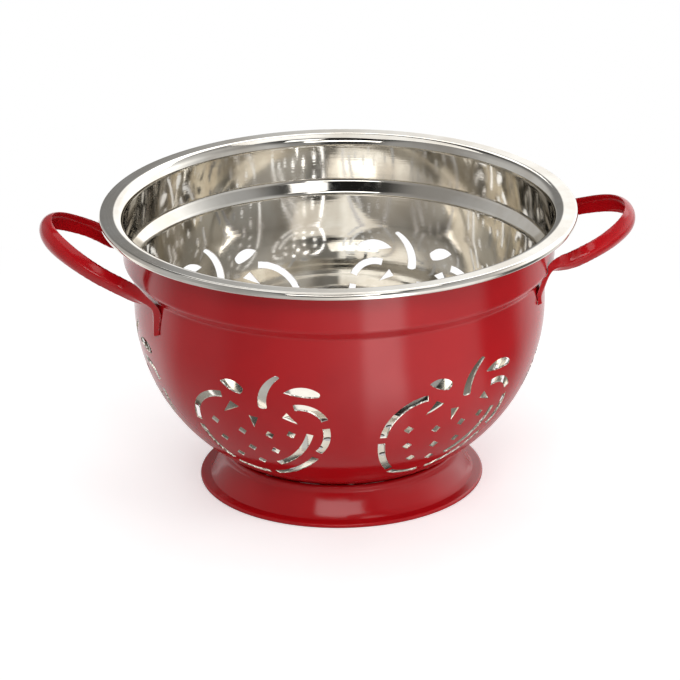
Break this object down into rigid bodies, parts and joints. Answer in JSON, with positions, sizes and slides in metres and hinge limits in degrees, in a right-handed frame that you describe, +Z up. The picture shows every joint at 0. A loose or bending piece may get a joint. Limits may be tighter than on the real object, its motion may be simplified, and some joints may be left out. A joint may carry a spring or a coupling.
{
  "type": "colander",
  "caption": "Footed kitchen colander: a deep bowl with a rolled rim, strip loop handles on both sides and a berry-shaped stencil of drain slots round its wall.",
  "frame": {"origin": "on the surface that the foot stands on, under the middle of the foot ring", "axes": "+Z up along the bowl's axis, +X towards the right handle, so that the handles lie along X"},
  "size_m": [0.2994, 0.24, 0.144],
  "materials": {
    "bowl_sheet": "glossy enamel outside, bright polished steel inside and on the rim",
    "foot_paint": "glossy enamel",
    "handle_paint": "glossy enamel",
    "weld_steel": "bare spot weld nuggets"
  },
  "bodies": {
    "root": {"bowl": "bowl_sheet", "foot_ring": "foot_paint", "foot_welds": "weld_steel", "handle_left": "handle_paint", "handle_right": "handle_paint", "handle_left_front_welds": "weld_steel", "handle_left_back_welds": "weld_steel", "handle_right_front_welds": "weld_steel", "handle_right_back_welds": "weld_steel"}
  },
  "joints": []
}
